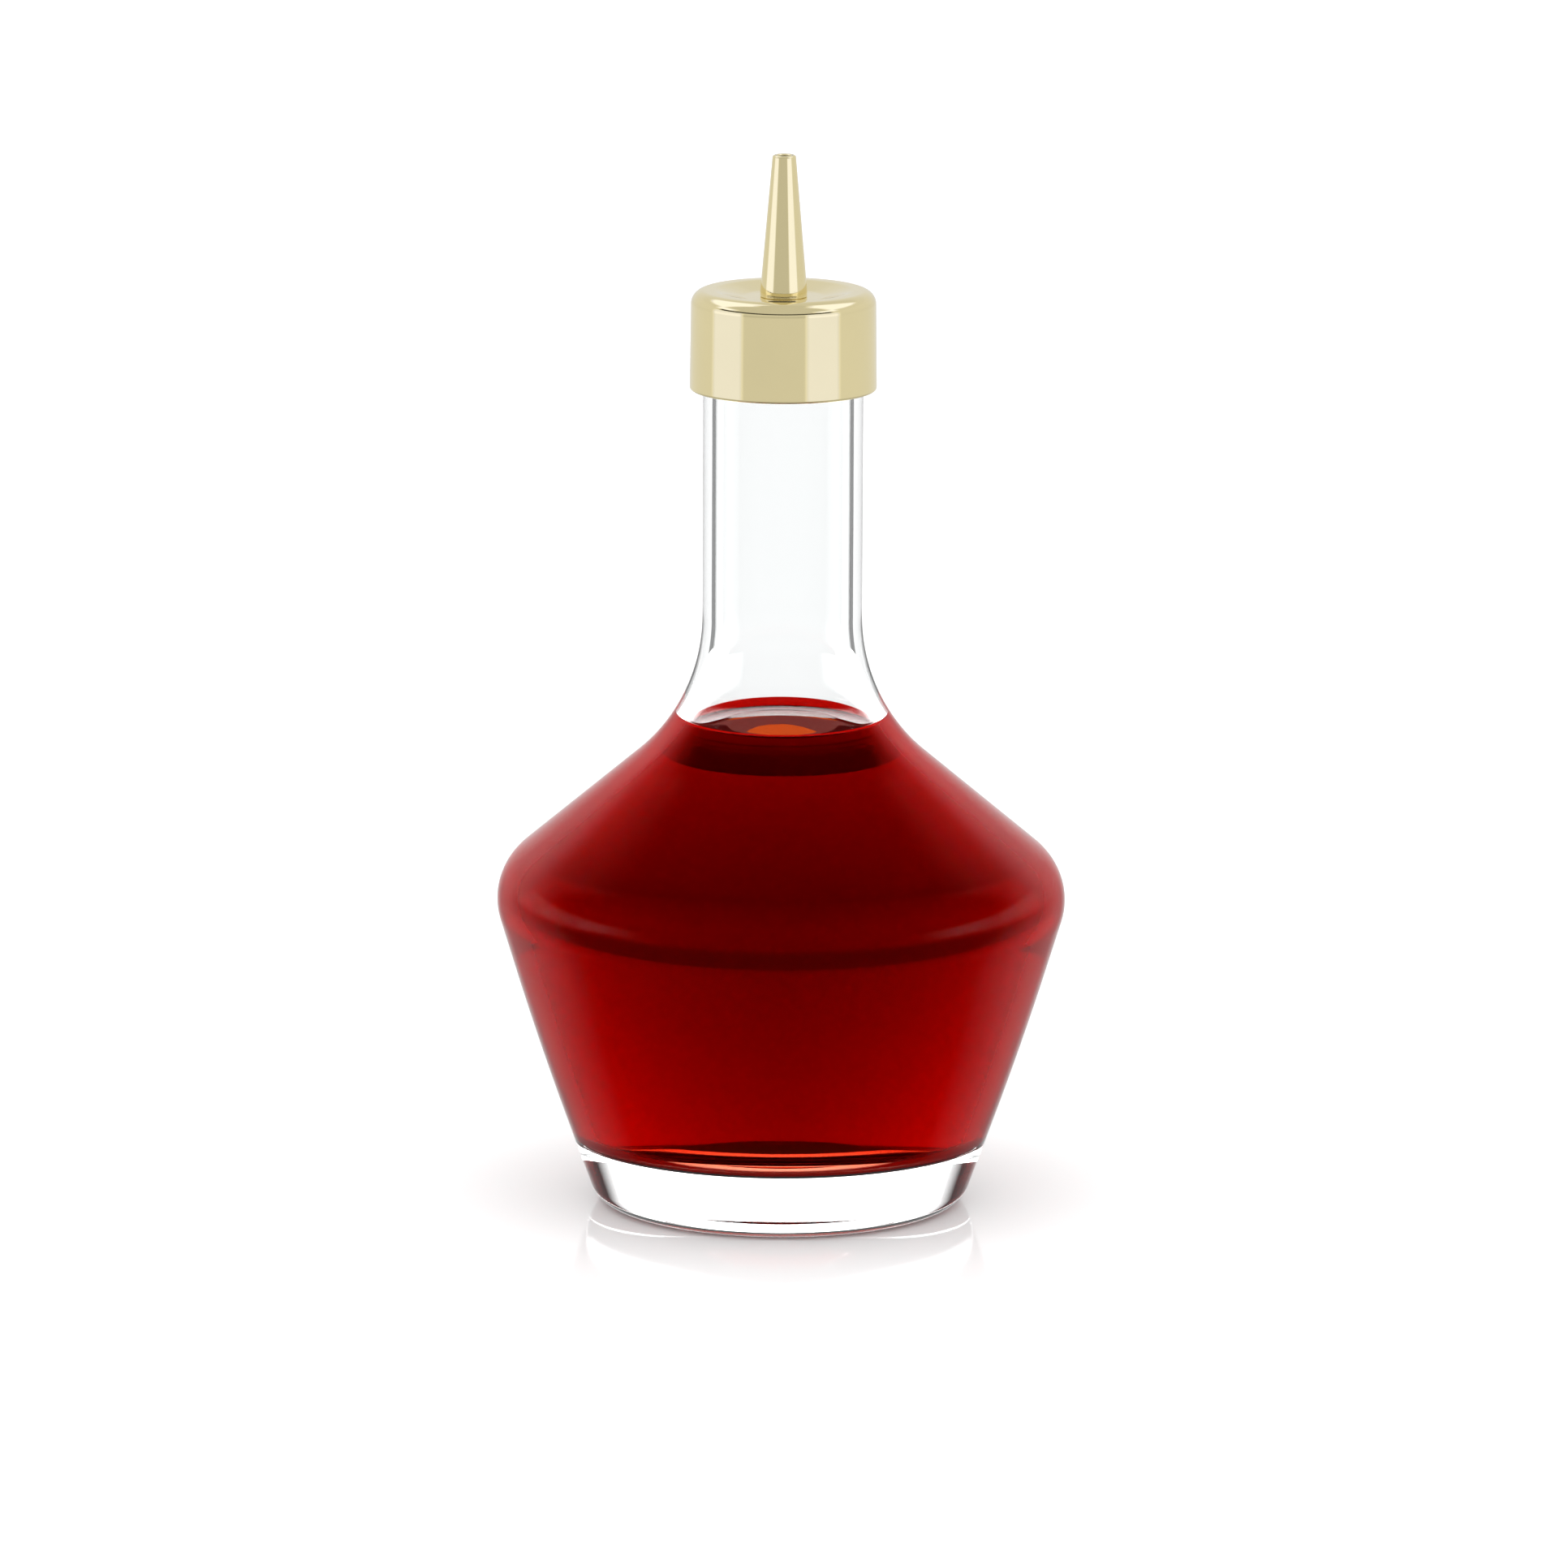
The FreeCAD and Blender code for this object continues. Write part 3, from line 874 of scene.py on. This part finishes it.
# The room as the plating mirrors it, as clear glass mirrors it, as it shows through glass and filling, and as
# it lights everything else. Each is a row of bands from the floor up: the elevation where a band starts, how
# softly it starts, and its brightness by the angle round from the camera. Angles are in degrees.
BRIGHTEST = 12.0
PLATING_MIRRORS = [
    (-90, 0, [(0, 0.5), (180, 0.6)]),
    (-20, 2, [(38, 0.74), (44, 1.3), (82, 1.3), (88, 0.8)]),
    (-6, 1.5, [(38, 0.62), (44, 1.5), (82, 1.5), (88, 0.78)]),
    (5, 2, [(38, 0.74), (44, 1.3), (82, 1.3), (88, 0.8)]),
    (16, 1.5, [(0, 0.06), (74, 0.06), (80, 0.8)]),
    (25, 1.5, [(50, 0.66), (64, 1.6), (84, 1.6), (92, 0.78)]),
    (36, 3, [(75, 0.66), (85, 1.6), (140, 1.6), (150, 0.72)]),
    (72, 4, [(0, 0.66), (180, 0.66)]),
]
GLASS_MIRRORS = [
    (-90, 0, [(100, 0.0), (136, 0.26), (158, 0.3), (176, 0.85)]),
    (-4, 2, [(110, 0.0), (146, 0.3), (158, 0.35), (176, 0.85)]),
    (26, 8, [(0, 0.0), (180, 0.0)]),
]
GLASS_SHOWS = [
    (-90, 0, [(60, 0.0), (85, 9.0), (110, 9.0), (140, 5.0), (180, 3.4)]),
    (15, 3, [(120, 0.0), (150, 3.4)]),
    (50, 5, [(0, 0.0), (180, 0.0)]),
]
ROOM = [
    (-90, 0, [(60, 2.0), (140, 1.3)]),
]
# How far the room that the plating mirrors is turned round, and the tint that it gets between two levels
PLATING_TURN = math.radians(12.0)
SOFT_BOX_TINT = linear("E2E6FF")
SOFT_BOX_STARTS = 0.9
SOFT_BOX_FULL = 1.2


def banded_room(tree, bands, elevation, turn, tint=(1.0, 1.0, 1.0)):
    """Background of a row of bands, with a tint for what is as bright as a soft box."""
    colour = None
    for start, blur, stops in bands:
        ramp = add(tree, "ShaderNodeValToRGB", {0: turn},
                   stops=[(degrees / 180, level / BRIGHTEST) for degrees, level in stops]).outputs[0]
        if colour is None:
            colour = ramp
            continue
        step = add(tree, "ShaderNodeMapRange", {
            "Value": elevation, "From Min": math.radians(start - blur),
            "From Max": math.radians(start + blur)}, interpolation_type="SMOOTHSTEP").outputs[0]
        colour = add(tree, "ShaderNodeMix", {0: step, 6: colour, 7: ramp}, data_type="RGBA").outputs[2]
    boxed = add(tree, "ShaderNodeMapRange", {
        "Value": colour, "From Min": SOFT_BOX_STARTS / BRIGHTEST,
        "From Max": SOFT_BOX_FULL / BRIGHTEST}).outputs[0]
    colour = add(tree, "ShaderNodeMix", {0: boxed, 6: colour, 7: (*tint, 1.0)}, data_type="RGBA",
                 blend_type="MULTIPLY").outputs[2]
    return add(tree, "ShaderNodeBackground", {"Color": colour, "Strength": BRIGHTEST}).outputs[0]


def studio_world():
    """A white room with soft boxes left and right. What lights the pieces, what plating and glass mirror and
    what shows through the bottle each have their own brightness."""
    world = bpy.data.worlds.new("Studio")
    world.use_nodes = True
    tree = world.node_tree
    tree.nodes.clear()
    spot = add(tree, "ShaderNodeTexCoord").outputs["Generated"]
    way = add(tree, "ShaderNodeSeparateXYZ", {0: spot}).outputs
    ahead = add(tree, "ShaderNodeMath", {0: way["Y"], 1: -1.0}, operation="MULTIPLY").outputs[0]
    azimuth = add(tree, "ShaderNodeMath", {0: way["X"], 1: ahead}, operation="ARCTAN2").outputs[0]
    turns = []
    for shift in (0.0, PLATING_TURN):
        shifted = add(tree, "ShaderNodeMath", {0: azimuth, 1: shift}, operation="ADD").outputs[0]
        aside = add(tree, "ShaderNodeMath", {0: shifted}, operation="ABSOLUTE").outputs[0]
        turns.append(add(tree, "ShaderNodeMath", {0: aside, 1: math.pi}, operation="DIVIDE").outputs[0])
    straight, turned = turns
    elevation = add(tree, "ShaderNodeMath", {0: way["Z"]}, operation="ARCSINE").outputs[0]
    path = add(tree, "ShaderNodeLightPath").outputs
    plain = banded_room(tree, ROOM, elevation, straight)
    mirrored = banded_room(tree, PLATING_MIRRORS, elevation, turned, SOFT_BOX_TINT)
    room = plain
    for ray, seen in (
            ("Is Glossy Ray", mirrored),
            ("Is Singular Ray", banded_room(tree, GLASS_MIRRORS, elevation, straight)),
            ("Is Transmission Ray", banded_room(tree, GLASS_SHOWS, elevation, straight)),
            ("Diffuse Depth", plain)):
        room = add(tree, "ShaderNodeMixShader", {0: path[ray], 1: room, 2: seen}).outputs[0]
    add(tree, "ShaderNodeOutputWorld", {"Surface": room})
    return world


# The floor's painted glow as it shows through the bottle: painted light from below, and a painted shadow near
# the foot. Its brightness by the distance from the bottle's axis in millimetres, how much of it is left in
# front of the bottle, where it is painted darker, and how far before and behind the axis it changes to that
PAINTED_FLOOR_GLOW = [(56, 0.1), (70, 1.65), (120, 2.7), (195, 2.7), (232, 1.15), (600, 1.15), (700, 3.4)]
FLOOR_SPAN = 1000.0
FRONT_SHARE = 0.1
FRONT_BLEND = 20.0
# How far the floor lies under the base, in millimetres, and its finish
FLOOR_DROP = 0.03
FLOOR_ROUGHNESS = 0.08
FLOOR_GLOSS = 0.15


def floor_finish(stage):
    """White acrylic sheet with a soft gloss. Through the bottle it shows a painted glow that stands in for
    light from below, with a painted shadow near the foot."""
    finish, tree = new_finish("White acrylic")
    shader = add(tree, "ShaderNodeBsdfPrincipled", {
        "Base Color": (*stage.floor_colour, 1.0), "Roughness": FLOOR_ROUGHNESS,
        "Specular IOR Level": FLOOR_GLOSS})
    spot = add(tree, "ShaderNodeTexCoord").outputs["Object"]
    radius = add(tree, "ShaderNodeVectorMath", {0: spot}, operation="LENGTH").outputs["Value"]
    share = add(tree, "ShaderNodeMath", {0: radius, 1: FLOOR_SPAN * MM}, operation="DIVIDE").outputs[0]
    level = add(tree, "ShaderNodeValToRGB", {0: share}, stops=[
        (distance / FLOOR_SPAN, brightness / BRIGHTEST) for distance, brightness in PAINTED_FLOOR_GLOW]).outputs[0]
    depth = add(tree, "ShaderNodeSeparateXYZ", {0: spot}).outputs["Y"]
    strength = add(tree, "ShaderNodeMapRange", {
        "Value": depth, "From Min": -FRONT_BLEND * MM, "From Max": FRONT_BLEND * MM,
        "To Min": BRIGHTEST * FRONT_SHARE, "To Max": BRIGHTEST}).outputs[0]
    # Painted light: a glow that only rays through the bottle see, with a painted shadow near the foot
    painted_glow = add(tree, "ShaderNodeEmission", {"Color": level, "Strength": strength}).outputs[0]
    through = add(tree, "ShaderNodeLightPath").outputs["Is Transmission Ray"]
    seen = add(tree, "ShaderNodeMixShader", {0: through, 1: shader.outputs[0], 2: painted_glow}).outputs[0]
    add(tree, "ShaderNodeOutputMaterial", {"Surface": seen})
    return finish


def lay_floor(stage):
    """The floor, just under the bottle's base."""
    reach = stage.floor_reach
    corners = [(-reach, -reach), (reach, -reach), (reach, reach), (-reach, reach)]
    mesh = bpy.data.meshes.new("floor")
    mesh.from_pydata([(x, y, -FLOOR_DROP * MM) for x, y in corners], [], [(0, 1, 2, 3)])
    mesh.materials.append(floor_finish(stage))
    floor = bpy.data.objects.new("floor", mesh)
    bpy.context.scene.collection.objects.link(floor)
    floor.visible_glossy = False


# How far a card on the floor lies above it, in millimetres, and the steps in a hanging card's bow
CARD_LIFT = 0.2
BOW_STEPS = 16


def upright_card(behind, half_width, low, high):
    """Corners of a card that stands behind the bottle, in millimetres."""
    return [(-half_width, behind, low), (half_width, behind, low),
            (half_width, behind, high), (-half_width, behind, high)]


def hanging_card(behind, half_width, low, high):
    """Corners of a card behind the bottle whose lower edge hangs in a bow."""
    turns = [math.pi * (step / BOW_STEPS - 0.5) for step in range(BOW_STEPS + 1)]
    return [(half_width * math.sin(turn), behind, high - (high - low) * math.cos(turn)) for turn in turns]


def flat_card(side, turns, reaches):
    """Corners of a card that lies on the floor on one side of the line of sight, between two angles and two
    distances."""
    (first, last), (near, far) = turns, reaches
    places = [(first, near), (first, far), (last, far), (last, near)]
    return [(side * reach * math.sin(math.radians(turn)), reach * math.cos(math.radians(turn)), CARD_LIFT)
            for turn, reach in places]


# Cards that only show through the bottle: a dark, a dim and a warm one, which the filling's surface mirrors
# as painted reflections, a dark one close behind the belly as painted shade, and two on the floor as painted
# shade, which draw the dark line of the neck's bore. Each has its colour, glow and corners.
CARDS = [
    ("dark_card", "5A2220", 1.0, upright_card(150.0, 70.0, 80.0, 100.0)),
    ("dim_card", "CB6A62", 1.0, hanging_card(149.5, 24.0, 88.0, 93.0)),
    ("warm_card", "D85523", 3.3, hanging_card(149.0, 17.0, 89.3, 93.0)),
    ("rear_card", "3A1210", 1.0, upright_card(37.0, 30.0, 34.5, 41.0)),
    ("left_painted_shade", "8C8C8C", 1.0, flat_card(-1, (41.0, 56.0), (200.0, 640.0))),
    ("right_painted_shade", "8C8C8C", 1.0, flat_card(1, (41.0, 56.0), (200.0, 640.0))),
]


def card(name, colour, glow, corners):
    """A plain glowing card that only light from inside the bottle meets, painting what shows through the
    glass.
    """
    finish, tree = new_finish(name)
    shader = add(tree, "ShaderNodeEmission", {"Color": (*linear(colour), 1.0), "Strength": glow})
    add(tree, "ShaderNodeOutputMaterial", {"Surface": shader.outputs[0]})
    mesh = bpy.data.meshes.new(name)
    mesh.from_pydata([Vector(corner) * MM for corner in corners], [], [range(len(corners))])
    mesh.materials.append(finish)
    sheet = bpy.data.objects.new(name, mesh)
    bpy.context.scene.collection.objects.link(sheet)
    # Painted reflection and painted shade: the cards show only to rays through the bottle
    for sight in ("visible_camera", "visible_diffuse", "visible_glossy", "visible_shadow"):
        setattr(sheet, sight, False)


# The camera's sensor and how far beside the axis it aims, in millimetres, and its roll
SENSOR_WIDTH = 36.0
AIM_ASIDE = 0.3
CAMERA_ROLL = math.radians(0.25)
# How often light may bounce in all, and in the haze
LIGHT_BOUNCES = 24
HAZE_BOUNCES = 4


def set_camera(stage):
    """The camera, at the photograph's viewing angle."""
    lens = bpy.data.cameras.new("camera")
    lens.lens = stage.lens
    lens.sensor_width = SENSOR_WIDTH
    camera = bpy.data.objects.new("camera", lens)
    bpy.context.scene.collection.objects.link(camera)
    camera.location = (0.0, -stage.camera_distance, stage.camera_height)
    sight = Vector((AIM_ASIDE * MM, 0.0, stage.aim_height)) - camera.location
    turn = sight.to_track_quat("-Z", "Y").to_matrix() @ Matrix.Rotation(CAMERA_ROLL, 3, "Z")
    camera.rotation_euler = turn.to_euler()
    bpy.context.scene.camera = camera


class BOTTLE_OT_stage(bpy.types.Operator):
    """Set the floor, the light and the camera"""

    bl_idname = "bitters_bottle.stage"
    bl_label = "Stage"

    def execute(self, context):
        scene = context.scene
        stage = scene.bitters_bottle.stage
        lay_floor(stage)
        for sheet in CARDS:
            card(*sheet)
        scene.world = studio_world()
        set_camera(stage)
        scene.view_settings.view_transform = "Standard"
        scene.cycles.max_bounces = LIGHT_BOUNCES
        scene.cycles.transmission_bounces = LIGHT_BOUNCES
        scene.cycles.volume_bounces = HAZE_BOUNCES
        return {"FINISHED"}


class BOTTLE_PT_panel(bpy.types.Panel):
    """Lists the steps that make the bottle"""

    bl_idname = "BOTTLE_PT_panel"
    bl_label = "Bitters bottle"
    bl_space_type = "VIEW_3D"
    bl_region_type = "UI"
    bl_category = "Bitters bottle"

    def draw(self, context):
        for step in STEPS:
            self.layout.operator(step.bl_idname)


STEPS = [BOTTLE_OT_glass, BOTTLE_OT_filling, BOTTLE_OT_top, BOTTLE_OT_inside, BOTTLE_OT_stage]
SETTINGS = [GlassSettings, FillingSettings, TopSettings, StageSettings, BottleSettings]
CLASSES = [*SETTINGS, *STEPS, BOTTLE_PT_panel]


def register():
    """Registers the settings, the steps and the panel."""
    for each in CLASSES:
        bpy.utils.register_class(each)
    bpy.types.Scene.bitters_bottle = PointerProperty(type=BottleSettings)


def unregister():
    """Takes the settings, the steps and the panel away again."""
    del bpy.types.Scene.bitters_bottle
    for each in reversed(CLASSES):
        bpy.utils.unregister_class(each)


def main():
    """Makes the pieces and the stage."""
    register()
    bpy.ops.bitters_bottle.glass()
    bpy.ops.bitters_bottle.filling()
    bpy.ops.bitters_bottle.top()
    bpy.ops.bitters_bottle.inside()
    bpy.ops.bitters_bottle.stage()


if __name__ == "__main__":
    main()
